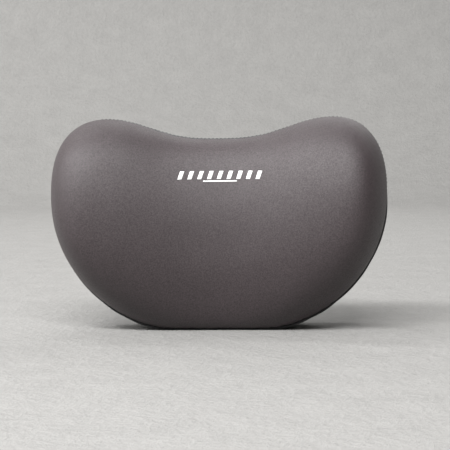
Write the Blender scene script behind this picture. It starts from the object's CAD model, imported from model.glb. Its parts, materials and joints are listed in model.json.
"""Looks of the padded chair headrest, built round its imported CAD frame.  Metres, +Z up, front faces -Y."""
import json
import math

import bmesh
import bpy
import numpy as np
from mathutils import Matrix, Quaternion, Vector, noise
from mathutils.bvhtree import BVHTree


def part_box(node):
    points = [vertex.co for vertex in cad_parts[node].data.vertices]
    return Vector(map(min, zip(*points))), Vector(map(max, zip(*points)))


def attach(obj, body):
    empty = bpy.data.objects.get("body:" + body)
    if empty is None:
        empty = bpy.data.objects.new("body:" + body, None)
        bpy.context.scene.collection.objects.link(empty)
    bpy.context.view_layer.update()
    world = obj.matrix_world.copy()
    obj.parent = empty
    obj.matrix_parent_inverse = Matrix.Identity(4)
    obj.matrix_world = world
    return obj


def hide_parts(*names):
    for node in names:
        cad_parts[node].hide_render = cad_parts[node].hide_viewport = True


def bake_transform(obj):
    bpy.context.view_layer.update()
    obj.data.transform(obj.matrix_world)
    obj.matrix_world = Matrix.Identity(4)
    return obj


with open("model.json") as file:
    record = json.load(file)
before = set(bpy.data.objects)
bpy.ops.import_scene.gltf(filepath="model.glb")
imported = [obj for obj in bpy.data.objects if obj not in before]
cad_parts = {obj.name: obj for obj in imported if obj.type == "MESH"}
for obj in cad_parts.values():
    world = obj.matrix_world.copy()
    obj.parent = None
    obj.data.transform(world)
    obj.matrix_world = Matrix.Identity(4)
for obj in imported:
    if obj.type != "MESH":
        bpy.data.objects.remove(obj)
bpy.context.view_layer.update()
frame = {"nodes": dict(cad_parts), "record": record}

MM = 0.001
nodes = frame["nodes"]


def middle(node):
    """Middle of a CAD node's box."""
    low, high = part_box(node)
    return (Vector(low) + Vector(high)) / 2


# ---- driving places: read from the frame, with the few CAD thicknesses that it does not give ----------
binding_low, binding_high = (Vector(corner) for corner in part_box("seam_binding"))
binding_width = 2.6 * MM
seam_tilt = (binding_high.y - binding_low.y - binding_width) / (binding_high.z - binding_low.z)
seam_point = Vector((0, (binding_low.y + binding_high.y) / 2, (binding_low.z + binding_high.z) / 2))
seam_normal = Vector((0, 1, -seam_tilt)).normalized()  # points to the back
zip_z = (middle("zip_tape_upper").z + middle("zip_tape_lower").z) / 2
zip_half = (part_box("zip_tape_upper")[1][0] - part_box("zip_tape_upper")[0][0]) / 2
zip_gap = 3 * MM  # half the height of the slot that the zip lies in
back_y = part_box("cover_back_upper")[1][1]
strap_z = middle("strap_left").z
strap_half = (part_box("strap_left")[1][2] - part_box("strap_left")[0][2]) / 2
strap_thick = 1.6 * MM
layer_step = 2 * MM  # from the middle of the strap's main run to the middle of the layer doubled behind it
strap_y = middle("strap_keeper").y - layer_step / 2
tail_y = strap_y + layer_step
strap_straight = frame["record"]["physics"]["openings"][0]["box_m"][1][0]


# ---- small helpers -----------------------------------------------------------------------------------
def new_object(name, mesh):
    """An object for a finished mesh."""
    piece = bpy.data.objects.new(name, mesh)
    bpy.context.scene.collection.objects.link(piece)
    return piece


def shade_smooth(mesh):
    """Shades a mesh as one rounded surface."""
    for polygon in mesh.polygons:
        polygon.use_smooth = True


def mesh_from(name, points, faces):
    """An object from lists of points and faces."""
    mesh = bpy.data.meshes.new(name)
    mesh.from_pydata([tuple(p) for p in points], [], faces)
    mesh.validate()
    shade_smooth(mesh)
    return new_object(name, mesh)


def apply_modifiers(piece):
    """Replaces the piece's mesh by what its modifiers make of it."""
    depsgraph = bpy.context.evaluated_depsgraph_get()
    depsgraph.update()
    mesh = bpy.data.meshes.new_from_object(piece.evaluated_get(depsgraph))
    piece.modifiers.clear()
    piece.data = mesh
    shade_smooth(mesh)


def points_of(piece):
    """The piece's vertices as an array."""
    flat = np.zeros(len(piece.data.vertices) * 3)
    piece.data.vertices.foreach_get("co", flat)
    return flat.reshape(-1, 3)


def set_points(piece, points):
    """Moves the piece's vertices."""
    piece.data.vertices.foreach_set("co", points.ravel())
    piece.data.update()


def normals_of(piece):
    """The normals at the piece's vertices as an array."""
    flat = np.zeros(len(piece.data.vertices) * 3, np.float32)
    piece.data.vertex_normals.foreach_get("vector", flat)
    return flat.reshape(-1, 3).astype(float)


def relax(piece, rounds):
    """Smooths the piece's surface."""
    smooth = piece.modifiers.new("relax", "SMOOTH")
    smooth.iterations = rounds
    smooth.factor = 0.5
    apply_modifiers(piece)


def finish_piece(piece, body, material, slot, *replaced):
    """Paints a piece, makes it ride on its body and hides the CAD nodes that it stands for."""
    piece.data.materials.clear()
    piece.data.materials.append(material)
    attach(piece, body)
    if replaced:
        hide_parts(*replaced)
    return piece


# ---- material building -------------------------------------------------------------------------------
class Look:
    """A material made of nodes, with short ways to add them."""

    def __init__(self, name, colour, roughness, **shader_values):
        self.material = bpy.data.materials.new(name)
        self.material.use_nodes = True
        self.tree = self.material.node_tree
        self.shader = self.tree.nodes["Principled BSDF"]
        self.shader.inputs["Base Color"].default_value = (*colour, 1)
        self.shader.inputs["Roughness"].default_value = roughness
        for socket, value in shader_values.items():
            self.shader.inputs[socket.replace("_", " ")].default_value = value
        self.place = self.node("ShaderNodeTexCoord")
        self.colour = colour

    def node(self, kind, **settings):
        """A new node with its settings."""
        made = self.tree.nodes.new(kind)
        for key, value in settings.items():
            setattr(made, key, value)
        return made

    def feed(self, socket, value):
        """Links a socket to another, or sets its value."""
        if isinstance(value, bpy.types.NodeSocket):
            self.tree.links.new(value, socket)
        else:
            socket.default_value = value

    def math(self, operation, *values):
        """Arithmetic on sockets and numbers."""
        made = self.node("ShaderNodeMath", operation=operation)
        for socket, value in zip(made.inputs, values):
            self.feed(socket, value)
        return made.outputs[0]

    def product(self, *factors):
        """All the factors multiplied together."""
        total = factors[0]
        for factor in factors[1:]:
            total = self.math("MULTIPLY", total, factor)
        return total

    def axes(self):
        """The object-space X, Y and Z of the shaded point, in metres."""
        split = self.node("ShaderNodeSeparateXYZ")
        self.feed(split.inputs[0], self.place.outputs["Object"])
        return split.outputs[0], split.outputs[1], split.outputs[2]

    def noise(self, scale, detail=2.0, rough=0.5):
        """Cloudy noise in object space, mostly between 0.3 and 0.7."""
        made = self.node("ShaderNodeTexNoise")
        self.feed(made.inputs["Vector"], self.place.outputs["Object"])
        made.inputs["Scale"].default_value = scale
        made.inputs["Detail"].default_value = detail
        made.inputs["Roughness"].default_value = rough
        return made.outputs["Fac"]

    def remap(self, value, low, high, to_low, to_high):
        """A value that runs from low to high, made to run from to_low to to_high."""
        made = self.node("ShaderNodeMapRange")
        self.feed(made.inputs["Value"], value)
        made.inputs["From Min"].default_value = low
        made.inputs["From Max"].default_value = high
        made.inputs["To Min"].default_value = to_low
        made.inputs["To Max"].default_value = to_high
        return made.outputs["Result"]

    def spread(self, cloud, to_low, to_high):
        """Noise made to run from to_low to to_high."""
        return self.remap(cloud, 0.3, 0.7, to_low, to_high)

    def tint(self, amount):
        """Base colour made lighter or darker by amount, a socket around 1."""
        scaled = self.node("ShaderNodeVectorMath", operation="SCALE")
        scaled.inputs[0].default_value = self.colour
        self.feed(scaled.inputs["Scale"], amount)
        self.feed(self.shader.inputs["Base Color"], scaled.outputs[0])

    def bump(self, height, depth, strength=1.0):
        """Bump from a height socket of 0 to 1 that stands for depth metres."""
        made = self.node("ShaderNodeBump")
        made.inputs["Distance"].default_value = depth
        made.inputs["Strength"].default_value = strength
        self.feed(made.inputs["Height"], height)
        self.feed(self.shader.inputs["Normal"], made.outputs["Normal"])

    def on_all_sides(self, pattern):
        """A flat pattern laid on from X, Y and Z, each where the surface faces that way."""
        facing = self.node("ShaderNodeSeparateXYZ")
        self.feed(facing.inputs[0], self.place.outputs["Normal"])
        sharpness = 5.0  # a higher one makes the three layers meet more abruptly
        weights = [self.math("POWER", self.math("ABSOLUTE", way), sharpness) for way in facing.outputs]
        x, y, z = self.axes()
        layers = [pattern(y, z), pattern(x, z), pattern(x, y)]
        total = self.math("ADD", self.math("ADD", weights[0], weights[1]), weights[2])
        mixed = 0.0
        for weight, layer in zip(weights, layers):
            mixed = self.math("ADD", mixed, self.math("MULTIPLY", weight, layer))
        return self.math("DIVIDE", mixed, total)

    def wave(self, along, pitch):
        """A wave from 0 to 1 along a coordinate, once each pitch."""
        turned = self.math("MULTIPLY", along, 2 * math.pi / pitch)
        return self.math("MULTIPLY_ADD", self.math("SINE", turned), 0.5, 0.5)


wale = 0.85 * MM  # width of a column of knit stitches
course = 0.7 * MM  # height of a row of them
loop_height = 0.3
groove_height = 0.6
knit_low = -loop_height
knit_high = loop_height + groove_height


def knit_pattern(look):
    """Columns of little V stitches, from knit_low to knit_high."""
    arm_slope = 1.3

    def pattern(across, up):
        column = look.math("FRACT", look.math("DIVIDE", across, wale))
        arm = look.math("ABSOLUTE", look.math("SUBTRACT", column, 0.5))
        row = look.math("ADD", look.math("DIVIDE", up, course), look.math("MULTIPLY", arm, arm_slope))
        loop = look.math("SINE", look.math("MULTIPLY", row, 2 * math.pi))
        groove = look.math("SINE", look.math("MULTIPLY", arm, 2 * math.pi))
        loops = look.math("MULTIPLY", loop, loop_height)
        return look.math("ADD", loops, look.math("MULTIPLY", groove, groove_height))

    return pattern


def hole_pattern(look, pitch):
    """Rows of round holes, each row half a pitch out of step: 0 in a hole, nearly 1 on the cloth."""
    row_stretch = 1.7
    rim_low = 0.25
    rim_high = 0.75
    softness = 0.5

    def pattern(across, up):
        first = look.math(
            "MULTIPLY",
            look.math("COSINE", look.math("MULTIPLY", across, 2 * math.pi / pitch)),
            look.math("COSINE", look.math("MULTIPLY", up, 2 * math.pi / (pitch * row_stretch))),
        )
        return look.math("SMOOTH_MIN", look.remap(first, rim_low, rim_high, 1, 0), 1.0, softness)

    return pattern


def knit_look():
    """Charcoal knit with a fine two-tone mottle."""
    look = Look("charcoal_knit", (0.034, 0.0245, 0.0268), 0.56, Sheen_Weight=0.04, Sheen_Roughness=0.4)
    look.shader.inputs["Sheen Tint"].default_value = (0.95, 0.92, 0.92, 1)
    stitches = look.on_all_sides(knit_pattern(look))
    yarn = look.spread(look.noise(1400, 2), 0.85, 1.15)
    patches = look.spread(look.noise(14, 3), 0.95, 1.05)
    mottle = look.noise(820, 3, 0.7)
    heather = look.spread(mottle, 0.66, 1.34)
    look.feed(look.shader.inputs["Specular IOR Level"], look.spread(mottle, 0.48, 0.76))
    shade = look.remap(stitches, knit_low, knit_high, 0.86, 1.06)
    look.tint(look.product(yarn, heather, patches, shade))
    look.feed(look.shader.inputs["Roughness"], look.spread(look.noise(60, 3), 0.53, 0.59))
    slubs = look.math("MULTIPLY", mottle, 1.6)
    look.bump(look.math("ADD", stitches, slubs), 0.09 * MM, 0.9)
    return look.material


def mesh_look():
    """Black cloth with rows of small holes."""
    look = Look("black_air_mesh", (0.022, 0.022, 0.023), 0.7, Sheen_Weight=0.25, Sheen_Roughness=0.4)
    holes = look.on_all_sides(hole_pattern(look, 2.2 * MM))
    threads = look.noise(1800, 2)
    look.tint(look.product(look.remap(holes, 0, 1, 0.35, 1.25), look.spread(threads, 0.8, 1.2)))
    look.bump(look.math("ADD", holes, look.math("MULTIPLY", threads, 0.25)), 0.35 * MM)
    return look.material


def webbing_look():
    """Black webbing with ribs along it and fine picks across."""
    look = Look("black_webbing", (0.027, 0.027, 0.028), 0.6, Sheen_Weight=0.2, Sheen_Roughness=0.4)
    x, y, z = look.axes()
    ribs = look.wave(z, 1.56 * MM)
    picks = look.wave(look.math("ADD", x, y), 1.1 * MM)
    weave = look.product(look.math("ADD", ribs, 0.2), look.math("ADD", picks, 0.5))
    fuzz = look.noise(2200, 2)
    look.tint(look.product(look.remap(weave, 0, 1.8, 0.7, 1.35), look.spread(fuzz, 0.85, 1.15)))
    look.bump(weave, 0.18 * MM)
    return look.material


def cord_weave_look(name, colour):
    """Close plain weave for bindings, tapes and labels."""
    look = Look(name, colour, 0.68, Sheen_Weight=0.2, Sheen_Roughness=0.4)
    x, y, z = look.axes()
    thread_pitch = 0.8 * MM
    along = look.math("ADD", x, y)
    slant = look.wave(look.math("ADD", along, z), thread_pitch)
    cross = look.wave(look.math("SUBTRACT", along, z), thread_pitch)
    weave = look.math("MAXIMUM", slant, cross)
    fuzz = look.spread(look.noise(900, 2), 0.9, 1.1)
    look.tint(look.product(look.remap(weave, 0, 1, 0.75, 1.15), fuzz))
    look.bump(weave, 0.08 * MM)
    return look.material


def plastic_look(name, colour, roughness):
    """Moulded plastic with a fine grain and lightly rubbed patches."""
    look = Look(name, colour, roughness, Specular_IOR_Level=0.5)
    grain = look.noise(1600, 3, 0.6)
    rubbed = look.remap(look.noise(45, 4), 0.35, 0.7, 0.0, 1.0)
    look.tint(look.remap(rubbed, 0, 1, 0.9, 1.25))
    look.feed(look.shader.inputs["Roughness"], look.remap(rubbed, 0, 1, roughness + 0.06, roughness - 0.08))
    look.bump(grain, 0.03 * MM, 0.6)
    return look.material


def metal_look():
    """Black-painted zip metal, worn brighter in patches."""
    look = Look("black_zip_metal", (0.03, 0.03, 0.032), 0.35, Metallic=0.7)
    worn = look.remap(look.noise(240, 4), 0.5, 0.75, 0.0, 1.0)
    look.tint(look.remap(worn, 0, 1, 0.9, 2.2))
    look.feed(look.shader.inputs["Roughness"], look.remap(worn, 0, 1, 0.38, 0.24))
    look.bump(look.noise(1200, 2), 0.015 * MM, 0.5)
    return look.material


def foam_look():
    """Cream foam with fine cells."""
    look = Look("memory_foam", (0.72, 0.66, 0.5), 0.85)
    cells = look.noise(900, 4, 0.65)
    look.tint(look.spread(cells, 0.82, 1.08))
    look.bump(cells, 0.2 * MM)
    return look.material


def print_look():
    """White rubbery ink that lets the knit's grain through."""
    look = Look("white_print", (0.82, 0.82, 0.81), 0.5)
    grain = look.on_all_sides(knit_pattern(look))
    patches = look.spread(look.noise(700, 3), 0.93, 1.03)
    look.tint(look.product(look.remap(grain, knit_low, knit_high, 0.9, 1.0), patches))
    look.bump(grain, 0.03 * MM, 0.6)
    return look.material


knit = knit_look()
air_mesh = mesh_look()
webbing = webbing_look()
binding_cloth = cord_weave_look("black_binding", (0.014, 0.014, 0.015))
tape_cloth = cord_weave_look("black_zip_tape", (0.016, 0.016, 0.017))
label_cloth = cord_weave_look("white_label", (0.74, 0.74, 0.72))
liner_cloth = cord_weave_look("white_liner", (0.7, 0.7, 0.68))
thread = cord_weave_look("black_thread", (0.045, 0.045, 0.047))
buckle_plastic = plastic_look("black_buckle_plastic", (0.022, 0.022, 0.023), 0.38)
teeth_plastic = plastic_look("black_zip_teeth", (0.02, 0.02, 0.021), 0.34)
zip_metal = metal_look()
foam = foam_look()
ink = print_look()


# ---- cushion cover: one inflated form, cut into its sewn panels ---------------------------------------
def spread_out(values, piece, rounds):
    """Values at the piece's vertices, evened out between neighbours."""
    ends = np.array([tuple(e.vertices) for e in piece.data.edges])
    neighbours = np.bincount(ends.ravel(), minlength=len(values))
    for _ in range(rounds):
        total = np.bincount(ends[:, 0], values[ends[:, 1]], len(values))
        total += np.bincount(ends[:, 1], values[ends[:, 0]], len(values))
        values = (values + total / np.maximum(neighbours, 1)) / 2
    return values


def inflate(piece, pinned, cap):
    """Lifts the surface as a cloth simulation with air pressure does, at most by cap, and evened out."""
    start = points_of(piece)
    outward = normals_of(piece)
    group = piece.vertex_groups.new(name="pinned")
    group.add([int(i) for i in np.flatnonzero(pinned)], 1.0, "REPLACE")
    cloth = piece.modifiers.new("cloth", "CLOTH")
    last_frame = 20
    smoothing_rounds = 30
    cloth.settings.quality = 5
    cloth.settings.use_pressure = True
    cloth.settings.uniform_pressure_force = 4.0
    cloth.settings.mass = 0.3
    cloth.settings.tension_stiffness = 20
    cloth.settings.compression_stiffness = 20
    cloth.settings.bending_stiffness = 2
    cloth.settings.vertex_group_mass = "pinned"
    cloth.settings.effector_weights.gravity = 0
    scene = bpy.context.scene
    for step in range(1, last_frame + 1):
        scene.frame_set(step)
    apply_modifiers(piece)
    scene.frame_set(1)
    moved = ((points_of(piece) - start) * outward).sum(axis=1)
    lift = spread_out(np.clip(moved, 0, cap), piece, smoothing_rounds)
    set_points(piece, start + outward * lift[:, None])
    piece.vertex_groups.clear()


def cover_tree():
    """The CAD cover's surface, for measuring against."""
    corners = []
    faces = []
    for name in ("cover_front", "cover_back_upper", "cover_back_lower"):
        mesh = nodes[name].data
        start = len(corners)
        corners += [tuple(v.co) for v in mesh.vertices]
        faces += [tuple(start + i for i in p.vertices) for p in mesh.polygons]
    return BVHTree.FromPolygons(corners, faces)


def draw_on(form, lift):
    """Moves the form's points along their normals to a height of lift outside the CAD cover."""
    tree = cover_tree()
    reach = 12 * MM
    usual_travel = 5 * MM  # taken where no cover is met within reach
    points = points_of(form)
    outward = normals_of(form)
    for i in range(len(points)):
        start = Vector(points[i] + outward[i] * reach)
        hit, _, _, distance = tree.ray_cast(start, Vector(-outward[i]), reach)
        travel = reach - distance if hit else usual_travel
        points[i] = points[i] + outward[i] * (travel + lift)
    set_points(form, points)


def held_points(form):
    """Which points the cloth simulation holds still: those by the seam, by the zip and on the floor."""
    points = points_of(form)
    from_seam = np.abs((points - np.array(seam_point)) @ np.array(seam_normal))
    at_seam = from_seam < 3 * MM
    at_zip = (np.abs(points[:, 2] - zip_z) < 12 * MM) & (points[:, 1] > back_y - 8 * MM)
    on_floor = points[:, 2] < 2 * MM
    return at_seam | at_zip | on_floor


def cushion_form():
    """The whole skin: the foam remeshed, drawn on to the cover and, unless quick, lifted by air pressure."""
    voxel = 4 * MM
    cover_lift = 0.2 * MM  # the smoothing afterwards draws the skin in again
    air_lift = 1.5 * MM
    form = new_object("cushion_form", nodes["foam_core"].data.copy())
    remesh = form.modifiers.new("remesh", "REMESH")
    remesh.mode = "VOXEL"
    remesh.voxel_size = voxel
    apply_modifiers(form)
    relax(form, 8)
    draw_on(form, cover_lift)
    relax(form, 4)
    inflate(form, held_points(form), air_lift)
    relax(form, 3)
    subdivision = form.modifiers.new("subdivision", "SUBSURF")
    subdivision.levels = 1
    apply_modifiers(form)
    return form


def sew_in(form):
    """Draws the skin in along the seam with small puckers, and presses the underside on the floor."""
    valley_depth = 0.9 * MM
    valley_width = 3.2 * MM
    pucker_reach = 7 * MM
    low_band = 60 * MM  # the puckers grow deeper below this height
    floor_height = 0.05 * MM
    points = points_of(form)
    outward = normals_of(form)
    behind = (points - np.array(seam_point)) @ np.array(seam_normal)
    valley = valley_depth * np.exp(-(behind / valley_width) ** 2)
    pucker = np.array([noise.noise(Vector(p) * 150) for p in points])
    fine = np.array([noise.noise(Vector(p) * 320 + Vector((7, 3, 1))) for p in points])
    fade = np.exp(-np.abs(behind) / pucker_reach)
    low_edge = np.clip((low_band - points[:, 2]) / low_band, 0, 1)
    depth = valley + fade * (0.35 + 0.9 * low_edge) * MM * (0.7 * pucker + 0.4 * fine)
    points = points - outward * depth[:, None]
    points[:, 2] = np.maximum(points[:, 2], floor_height)
    set_points(form, points)


def cut(mesh, point, normal, drop_beyond=False):
    """Cuts a bmesh along a plane, and may drop the side that the normal points to."""
    geometry = mesh.verts[:] + mesh.edges[:] + mesh.faces[:]
    bmesh.ops.bisect_plane(
        mesh, geom=geometry, dist=1e-6, plane_co=point, plane_no=normal, clear_outer=drop_beyond
    )


def panel(form, name, cuts, drop=None):
    """The part of the skin left after the cuts, less any faces inside the box to drop, as a bare sheet."""
    mesh = bmesh.new()
    mesh.from_mesh(form.data)
    for point, normal in cuts:
        cut(mesh, point, normal, drop_beyond=True)
    if drop:
        low, high = drop
        for axis in (0, 2):
            for corner in (low, high):
                direction = Vector((0, 0, 0))
                direction[axis] = 1
                cut(mesh, corner, direction)
        gone = [f for f in mesh.faces if all(low[i] < f.calc_center_median()[i] < high[i] for i in range(3))]
        bmesh.ops.delete(mesh, geom=gone, context="FACES")
    bmesh.ops.remove_doubles(mesh, verts=mesh.verts[:], dist=0.05 * MM)
    data = bpy.data.meshes.new(name)
    mesh.to_mesh(data)
    mesh.free()
    return new_object(name, data)


def thicken(piece, thickness):
    """Gives a sheet its thickness, inward from its outside."""
    solid = piece.modifiers.new("thickness", "SOLIDIFY")
    solid.thickness = thickness
    solid.offset = -1
    solid.use_even_offset = False
    apply_modifiers(piece)


form = cushion_form()
sew_in(form)
form_tree = BVHTree.FromPolygons([tuple(v.co) for v in form.data.vertices],
                                 [tuple(p.vertices) for p in form.data.polygons])

slot_low = Vector((-zip_half, back_y - 15 * MM, zip_z - zip_gap))
slot_high = Vector((zip_half, back_y + 15 * MM, zip_z + zip_gap))
seam_inset = 0.15 * MM
front_panel = panel(form, "knit_front", [(seam_point - seam_normal * seam_inset, seam_normal)])
behind_seam = (seam_point + seam_normal * seam_inset, -seam_normal)
above_zip = (Vector((0, 0, zip_z + seam_inset)), Vector((0, 0, -1)))
below_zip = (Vector((0, 0, zip_z - seam_inset)), Vector((0, 0, 1)))
zip_slot = (slot_low, slot_high)
upper_panel = panel(form, "mesh_back_upper", [behind_seam, above_zip], drop=zip_slot)
lower_panel = panel(form, "mesh_back_lower", [behind_seam, below_zip], drop=zip_slot)


# ---- seam binding and stitching ----------------------------------------------------------------------
def rim_of(piece):
    """The points round a sheet's open edge, in order."""
    mesh = bmesh.new()
    mesh.from_mesh(piece.data)
    edges = {e for e in mesh.edges if e.is_boundary}
    start = next(iter(sorted(edges, key=lambda e: e.index)))
    loop = [start.verts[0], start.verts[1]]
    edges.discard(start)
    while True:
        onward = [e for e in loop[-1].link_edges if e in edges]
        if not onward:
            break
        edges.discard(onward[0])
        loop.append(onward[0].other_vert(loop[-1]))
    points = [v.co.copy() for v in loop[:-1]]
    mesh.free()
    return points


def evenly(points, spacing, closed):
    """The same line with points an even distance apart."""
    line = points + points[:1] if closed else points
    lengths = [0.0]
    for a, b in zip(line, line[1:]):
        lengths.append(lengths[-1] + (b - a).length)
    count = max(2, round(lengths[-1] / spacing))
    targets = [lengths[-1] * i / count for i in range(count if closed else count + 1)]
    spread = [np.interp(targets, lengths, [p[axis] for p in line]) for axis in range(3)]
    return [Vector(p) for p in zip(*spread)]


def rounded(points, rounds):
    """A closed line smoothed by averaging neighbours."""
    for _ in range(rounds):
        points = [
            (points[i - 1] + points[i] * 2 + points[(i + 1) % len(points)]) / 4 for i in range(len(points))
        ]
    return points


def outward_at(point):
    """The skin's nearest point and the direction out of it."""
    place, normal, _, _ = form_tree.find_nearest(point)
    return place, normal


def tube(name, points, outs, radius, sides, closed):
    """A tube round a line; outs fixes where its first side points."""
    ring_points = []
    count = len(points)
    for i, point in enumerate(points):
        before = points[i - 1] if closed or i else points[i]
        after = points[(i + 1) % count] if closed or i + 1 < count else points[i]
        along = (after - before).normalized()
        side = along.cross(outs[i]).normalized()
        up = side.cross(along)
        for k in range(sides):
            turn = 2 * math.pi * k / sides
            ring_points.append(point + (up * math.cos(turn) + side * math.sin(turn)) * radius)
    faces = []
    rings = count if closed else count - 1
    for i in range(rings):
        for k in range(sides):
            a = i * sides + k
            b = i * sides + (k + 1) % sides
            c = ((i + 1) % count) * sides + (k + 1) % sides
            d = ((i + 1) % count) * sides + k
            faces.append((a, d, c, b))
    if not closed:
        faces.append(tuple(range(sides)))
        faces.append(tuple(reversed(range((count - 1) * sides, count * sides))))
    return mesh_from(name, ring_points, faces)


def stitches(name, points, outs, length, pitch, radius):
    """A row of separate stitches that lie along a line and dip in at their ends."""
    all_points = []
    all_faces = []
    sides = 6
    rings = 5
    arch = 1.2  # how high its middle rises, in radii
    sink = 0.6  # how deep it is pressed in, in radii
    taper = 0.55  # how much thinner its ends are
    walked = 0.0
    due = pitch / 2
    for i in range(len(points) - 1):
        step = points[i + 1] - points[i]
        while walked + step.length >= due and step.length > 0:
            centre = points[i] + step * ((due - walked) / step.length)
            along = step.normalized()
            out = (outs[i] - along * outs[i].dot(along)).normalized()
            side = along.cross(out)
            base = len(all_points)
            for r in range(rings):
                t = r / (rings - 1) * 2 - 1
                lift = (1 - t * t) * radius * arch
                thick = radius * (1 - taper * abs(t) ** 3)
                for k in range(sides):
                    turn = 2 * math.pi * k / sides
                    height = lift - radius * sink + thick * math.cos(turn)
                    width = thick * math.sin(turn)
                    all_points.append(centre + along * (t * length / 2) + out * height + side * width)
            for r in range(rings - 1):
                for k in range(sides):
                    a = base + r * sides + k
                    b = base + r * sides + (k + 1) % sides
                    all_faces.append((a, b, b + sides, a + sides))
            all_faces.append(tuple(base + k for k in reversed(range(sides))))
            all_faces.append(tuple(base + (rings - 1) * sides + k for k in range(sides)))
            due += pitch
        walked += step.length
    return mesh_from(name, all_points, all_faces)


def on_skin(points, lift=0.0):
    """Points put on the skin, with the directions out of it."""
    placed = []
    outs = []
    for point in points:
        place, normal = outward_at(point)
        placed.append(place + normal * lift)
        outs.append(normal)
    return placed, outs


# Length, pitch and radius of each kind of stitch.
panel_stitch = (2.6 * MM, 3.6 * MM, 0.28 * MM)
box_stitch = (2.2 * MM, 2.9 * MM, 0.3 * MM)
root_stitch = (2.4 * MM, 3.2 * MM, 0.3 * MM)
fine_stitch = (1.7 * MM, 2.4 * MM, 0.2 * MM)

seam_line = rounded(evenly(rim_of(front_panel), 2.2 * MM, True), 6)
_, seam_outs = on_skin(seam_line)
seam_outs = [o.normalized() for o in rounded(seam_outs, 8)]
sunk_above = 130 * MM  # above this height the piping lies sunk between the panels
proud_below = 100 * MM  # below this height it stands out, and in between it goes from one to the other
proud_lift = 0.9 * MM
sunk_travel = 1.6 * MM
piping_radius = 1.2 * MM
piping_sides = 12
piping_line = []
for p, o in zip(seam_line, seam_outs):
    sunk = min(max((p.z - proud_below) / (sunk_above - proud_below), 0), 1)
    piping_line.append(p + o * (proud_lift - sunk_travel * sunk))
floor_gap = 1.25 * MM
for p in piping_line:
    p.z = max(p.z, floor_gap)
piping = tube("seam_piping", piping_line, seam_outs, piping_radius, piping_sides, True)

stitch_step = 1.5 * MM  # between the points of a line that is stitched along
topstitch_behind = 4.5 * MM
topstitch_height = 0.6 * MM  # keeps the stitches off the floor
beside_seam = [p + seam_normal * topstitch_behind for p in evenly(seam_line, stitch_step, True)]
topstitch_line, topstitch_outs = on_skin(beside_seam)
for p in topstitch_line:
    p.z = max(p.z, topstitch_height)
topstitch = stitches("seam_topstitch", topstitch_line, topstitch_outs, *panel_stitch)

hem_ends = zip_half + 4 * MM
hem_drop = zip_gap + 3 * MM
hem_corners = [
    Vector((-hem_ends, back_y, zip_z - hem_drop)), Vector((hem_ends, back_y, zip_z - hem_drop)),
    Vector((hem_ends, back_y, zip_z + hem_drop)), Vector((-hem_ends, back_y, zip_z + hem_drop)),
]
hem_line, hem_outs = on_skin(evenly(hem_corners, stitch_step, True))
hem_stitch = stitches("zip_topstitch", hem_line + hem_line[:1], hem_outs + hem_outs[:1], *panel_stitch)

cloth_thick = 1.2 * MM
for sheet in (front_panel, upper_panel, lower_panel):
    thicken(sheet, cloth_thick)
bpy.data.objects.remove(form)

finish_piece(front_panel, "cushion", knit, "knit", "cover_front")
finish_piece(upper_panel, "cushion", air_mesh, "mesh", "cover_back_upper")
finish_piece(lower_panel, "cushion", air_mesh, "mesh", "cover_back_lower")
finish_piece(piping, "cushion", binding_cloth, "binding", "seam_binding")
finish_piece(topstitch, "cushion", thread, "binding")
finish_piece(hem_stitch, "cushion", thread, "tape")


# ---- strap: woven ribbons, sewn and threaded through the buckle ----------------------------------------
def arc_points(centre, radius_x, radius_y, start, end, count):
    """Points along part of an ellipse in plan, at the strap's height, angles in degrees from +X."""
    turns = [math.radians(start + (end - start) * i / count) for i in range(count + 1)]
    return [
        Vector((centre[0] + radius_x * math.cos(turn), centre[1] + radius_y * math.sin(turn), strap_z))
        for turn in turns
    ]


def bend_round(side):
    """The strap's way from inside the back panel round to the straight run, side 1 for right, -1 for left."""
    seat_y = 2.5 * MM
    end_x = 143 * MM
    inside_angle = 28
    straight_angle = 90
    steps = 24
    centre = (strap_straight, seat_y)
    reach = end_x - strap_straight
    points = arc_points(centre, reach, strap_y - seat_y, inside_angle, straight_angle, steps)
    return [Vector((side * p.x, p.y, p.z)) for p in points]


def folded(corners):
    """A line through corners in plan, its corners rounded off."""
    line = evenly([Vector((x, y, strap_z)) for x, y in corners], 0.5 * MM, False)
    for _ in range(4):
        line = [line[0]] + [(a + b * 2 + c) / 4 for a, b, c in zip(line, line[1:], line[2:])] + [line[-1]]
    return line


def ribbon(name, line):
    """Webbing of the strap's width along a line in plan, with round edges."""
    columns = 12
    edge_steps = 5
    outline = []
    edge_radius = strap_thick / 2
    flat_half = strap_half - edge_radius
    for side in (1, -1):
        for i in range(edge_steps):
            turn = math.pi / 2 - math.pi * i / (edge_steps - 1)
            height = flat_half + edge_radius * math.cos(turn)
            outline.append((side * height, side * edge_radius * math.sin(turn)))
        for i in range(1, columns):
            outline.append((side * (flat_half - 2 * flat_half * i / columns), -side * edge_radius))
    points = []
    for i, point in enumerate(line):
        before = line[max(i - 1, 0)]
        after = line[min(i + 1, len(line) - 1)]
        along = (after - before).normalized()
        out = Vector((along.y, -along.x, 0))
        for height, depth in outline:
            points.append(point + Vector((0, 0, height)) + out * depth)
    sides = len(outline)
    faces = []
    for i in range(len(line) - 1):
        for k in range(sides):
            a = i * sides + k
            b = i * sides + (k + 1) % sides
            faces.append((a, b, b + sides, a + sides))
    faces.append(tuple(reversed(range(sides))))
    faces.append(tuple(range((len(line) - 1) * sides, len(line) * sides)))
    piece = mesh_from(name, points, faces)
    mesh = bmesh.new()
    mesh.from_mesh(piece.data)
    bmesh.ops.recalc_face_normals(mesh, faces=mesh.faces[:])
    mesh.to_mesh(piece.data)
    mesh.free()
    return piece


def run_of(start, end, y):
    """Points of a straight run between two places across the back."""
    return evenly([Vector((start, y, strap_z)), Vector((end, y, strap_z))], 2 * MM, False)


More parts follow.
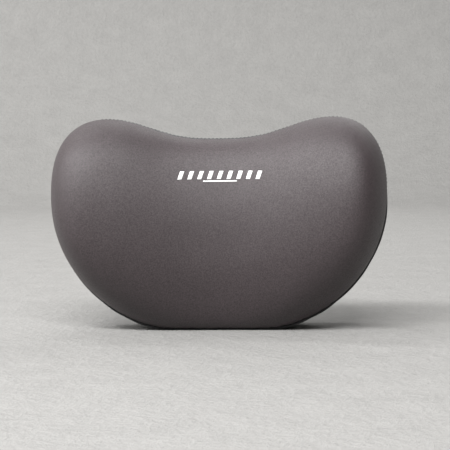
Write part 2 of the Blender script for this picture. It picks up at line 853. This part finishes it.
socket_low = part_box("buckle_female")[0]
plug_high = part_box("buckle_male")[1]
left_slot = socket_low[0] + 4.6 * MM
left_back = socket_low[0] - 2.4 * MM
left_end = socket_low[0] - 30 * MM
bar_top = 62.6 * MM
right_slot = plug_high[0] - 13.1 * MM
right_back = plug_high[0] - 6.8 * MM
left_line = bend_round(-1) + run_of(-strap_straight, left_slot - 4 * MM, strap_y)[1:]
left_line += folded([
    (left_slot - 3.5 * MM, strap_y), (left_slot, strap_y), (left_slot, bar_top), (left_back, bar_top),
    (left_back - 2 * MM, tail_y), (left_back - 6 * MM, tail_y),
])
left_line += run_of(left_back - 6.5 * MM, left_end, tail_y)
right_line = bend_round(1) + run_of(strap_straight, right_slot + 4 * MM, strap_y)[1:]
right_line += folded([
    (right_slot + 3.5 * MM, strap_y), (right_slot, strap_y), (right_slot, bar_top + 0.6 * MM),
    (right_back, bar_top + 0.6 * MM), (right_back, tail_y), (right_back + 4 * MM, tail_y),
])
right_line += run_of(right_back + 4.5 * MM, strap_straight, tail_y)
left_ribbon = ribbon("ribbon_left", left_line)
right_ribbon = ribbon("ribbon_right", right_line)
finish_piece(left_ribbon, "cushion", webbing, "webbing", "strap_left")
right_ribbon.data.materials.append(webbing)
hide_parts("strap_right")
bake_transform(right_ribbon)


def upright_corners(low_x, high_x, half_height, y):
    """Corners of an upright rectangle across the strap."""
    return [
        Vector((low_x, y, strap_z - half_height)), Vector((high_x, y, strap_z - half_height)),
        Vector((high_x, y, strap_z + half_height)), Vector((low_x, y, strap_z + half_height)),
    ]


def sewn_box():
    """Box and cross stitching that holds the left strap's doubled end."""
    face_y = tail_y + strap_thick / 2
    low_x = left_end + 3 * MM
    high_x = left_back - 6 * MM
    corners = upright_corners(low_x, high_x, strap_half - 3 * MM, face_y)
    lines = [corners + corners[:1], [corners[0], corners[2]], [corners[1], corners[3]]]
    made = []
    for i, line in enumerate(lines):
        points = evenly(line, 1.0 * MM, False)
        made.append(stitches(f"strap_box_stitch_{i}", points, [Vector((0, 1, 0))] * len(points), *box_stitch))
    return made


for row in sewn_box():
    finish_piece(row, "cushion", thread, "webbing")

root_half = 5 * MM
for side, word in ((-1, "left"), (1, "right")):
    root = bend_round(side)
    entry = min(root, key=lambda p: (outward_at(p)[0] - p).length)
    low_x = entry.x - root_half
    high_x = entry.x + root_half
    patch = evenly(upright_corners(low_x, high_x, strap_half + 3 * MM, entry.y), 1.2 * MM, True)
    patch_line, patch_outs = on_skin(patch)
    patch_line = patch_line + patch_line[:1]
    patch_outs = patch_outs + patch_outs[:1]
    patch_stitch = stitches(f"strap_root_stitch_{word}", patch_line, patch_outs, *root_stitch)
    finish_piece(patch_stitch, "cushion", thread, "webbing")


label_low, label_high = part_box("care_label")
label_inset = 1.2 * MM
label_corners = [
    Vector((x, label_high[1], z)) for x, z in (
        (label_low[0] + label_inset, label_low[2] + label_inset),
        (label_high[0] - label_inset, label_low[2] + label_inset),
        (label_high[0] - label_inset, label_high[2] - label_inset),
        (label_low[0] + label_inset, label_high[2] - label_inset),
    )
]
label_line = evenly(label_corners + label_corners[:1], 0.8 * MM, False)
label_stitch = stitches("label_stitch", label_line, [Vector((0, 1, 0))] * len(label_line), *fine_stitch)
finish_piece(label_stitch, "cushion", thread, "label")


# ---- printed mark: slanted bars over a thin line -------------------------------------------------------
def front_point(x, z):
    """The point of the front at x, z and the direction out of it."""
    ahead = -0.2
    hit, normal, _, _ = form_tree.ray_cast(Vector((x, ahead, z)), Vector((0, 1, 0)))
    return hit, normal


def printed_mark():
    """A generic mark: a row of slanted bars over a thin line, as a film on the knit."""
    low, high = (Vector(corner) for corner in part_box("front_mark"))
    bars = 9
    pitch = (high.x - low.x) / bars
    mark_height = high.z - low.z
    bar_height = mark_height * 0.76
    bar_width = pitch * 0.42
    slant = bar_height * 0.32
    line_height = mark_height * 0.11
    film_lift = 0.14 * MM
    film_thick = 0.12 * MM
    shapes = []
    for i in range(bars):
        left = low.x + pitch * (i + 0.5) - bar_width / 2
        shapes.append((left, high.z - bar_height, bar_width, bar_height, slant))
    line_width = 30 * MM
    shapes.append(((low.x + high.x - line_width) / 2, low.z, line_width, line_height, 0.0))
    points = []
    faces = []
    for left, base, width, height, lean in shapes:
        columns = max(4, round(width / (1.0 * MM)))
        rows = max(2, round(height / (0.9 * MM)))
        start = len(points)
        for r in range(rows + 1):
            for c in range(columns + 1):
                up = r / rows
                x = left + width * c / columns + lean * (up - 0.5)
                place, normal = front_point(x, base + height * up)
                points.append(place + normal * film_lift)
        for r in range(rows):
            for c in range(columns):
                a = start + r * (columns + 1) + c
                faces.append((a, a + 1, a + columns + 2, a + columns + 1))
    mark = mesh_from("front_print", points, faces)
    thicken(mark, film_thick)
    return mark


finish_piece(printed_mark(), "cushion", ink, "print", "front_mark")


# ---- CAD nodes that keep their shape -------------------------------------------------------------------
kept = {
    "foam_core": foam,
    "liner_front": liner_cloth,
    "liner_back": liner_cloth,
    "zip_tape_upper": tape_cloth,
    "zip_tape_lower": tape_cloth,
    "zip_teeth_upper": teeth_plastic,
    "zip_teeth_lower": teeth_plastic,
    "zip_stops": teeth_plastic,
    "zip_slider": zip_metal,
    "zip_pull": zip_metal,
    "strap_anchor_left": webbing,
    "strap_anchor_right": webbing,
    "strap_keeper": buckle_plastic,
    "buckle_female": buckle_plastic,
    "buckle_male": buckle_plastic,
    "buckle_prong_upper": buckle_plastic,
    "buckle_prong_lower": buckle_plastic,
    "care_label": label_cloth,
}
for name, material in kept.items():
    nodes[name].data.materials.clear()
    nodes[name].data.materials.append(material)


# ---- studio ----------------------------------------------------------------------------------------
def studio_bowl():
    """Pale floor that curves up into a wall all round, so that every side of the object has a backdrop."""
    floor_radius = 1.9
    bend = 0.8
    wall_top = 3.2
    around = 64
    bend_steps = 12
    profile = [(0.5, 0.0), (floor_radius, 0.0)]
    for i in range(1, bend_steps + 1):
        turn = math.pi / 2 * i / bend_steps
        profile.append((floor_radius + bend * math.sin(turn), bend - bend * math.cos(turn)))
    profile.append((floor_radius + bend, wall_top))
    points = [Vector((0, 0, 0))]
    for radius, height in profile:
        for k in range(around):
            turn = 2 * math.pi * k / around
            points.append(Vector((radius * math.cos(turn), radius * math.sin(turn), height)))
    faces = [(0, 1 + k, 1 + (k + 1) % around) for k in range(around)]
    for i in range(len(profile) - 1):
        for k in range(around):
            a = 1 + i * around + k
            b = 1 + i * around + (k + 1) % around
            faces.append((a, a + around, b + around, b))
    backdrop = mesh_from("backdrop", points, faces)
    look = Look("pale_plaster", (0.25, 0.246, 0.238), 0.85)
    trowel = look.noise(26, 6, 0.62)
    pits = look.noise(150, 5, 0.65)
    look.tint(look.product(look.spread(trowel, 0.95, 1.05), look.spread(pits, 0.95, 1.05)))
    look.bump(look.math("ADD", trowel, look.math("MULTIPLY", pits, 0.7)), 4 * MM, 0.9)
    backdrop.data.materials.append(look.material)


def area_light(name, place, target, width, height, power):
    """A rectangular lamp that faces its target."""
    data = bpy.data.lights.new(name, "AREA")
    data.shape = "RECTANGLE"
    data.size = width
    data.size_y = height
    data.energy = power
    light = bpy.data.objects.new(name, data)
    bpy.context.scene.collection.objects.link(light)
    light.location = place
    light.rotation_euler = (Vector(target) - Vector(place)).to_track_quat("-Z", "Y").to_euler()


def camera():
    """The view of the front, from a little right of it and a little above."""
    azimuth = math.radians(5)
    elevation = math.radians(4)
    distance = 1.5
    lens = 132.3
    roll = math.radians(-0.77)
    target = Vector((0.005, 0.0, 0.0931))
    offset = Vector((
        math.sin(azimuth) * math.cos(elevation), -math.cos(azimuth) * math.cos(elevation), math.sin(elevation)
    ))
    data = bpy.data.cameras.new("camera")
    data.lens = lens
    view = bpy.data.objects.new("camera", data)
    bpy.context.scene.collection.objects.link(view)
    view.location = target + offset * distance
    level = (-offset).to_track_quat("-Z", "Y")
    view.rotation_euler = (level @ Quaternion((0, 0, 1), roll)).to_euler()
    bpy.context.scene.camera = view


def surroundings():
    """Dim, even light from all round."""
    world = bpy.data.worlds.new("studio")
    world.use_nodes = True
    background = world.node_tree.nodes["Background"]
    background.inputs["Color"].default_value = (1.0, 0.99, 0.98, 1)
    background.inputs["Strength"].default_value = 0.22
    bpy.context.scene.world = world


studio_bowl()
camera()
cushion_middle = (0, 0, 0.1)
area_light("key", (-0.35, -1.35, 1.6), cushion_middle, width=2.0, height=0.4, power=98)
area_light("side", (-1.4, -0.3, 0.8), cushion_middle, width=0.8, height=0.8, power=16)
area_light("behind", (0.6, 1.5, 1.5), (0, 0.05, 0.05), width=1.6, height=0.8, power=13)
area_light("wall", (-0.9, 0.9, 2.0), (-0.5, 2.6, 0.6), width=1.6, height=0.8, power=62)
surroundings()
bpy.context.scene.view_settings.view_transform = "Standard"
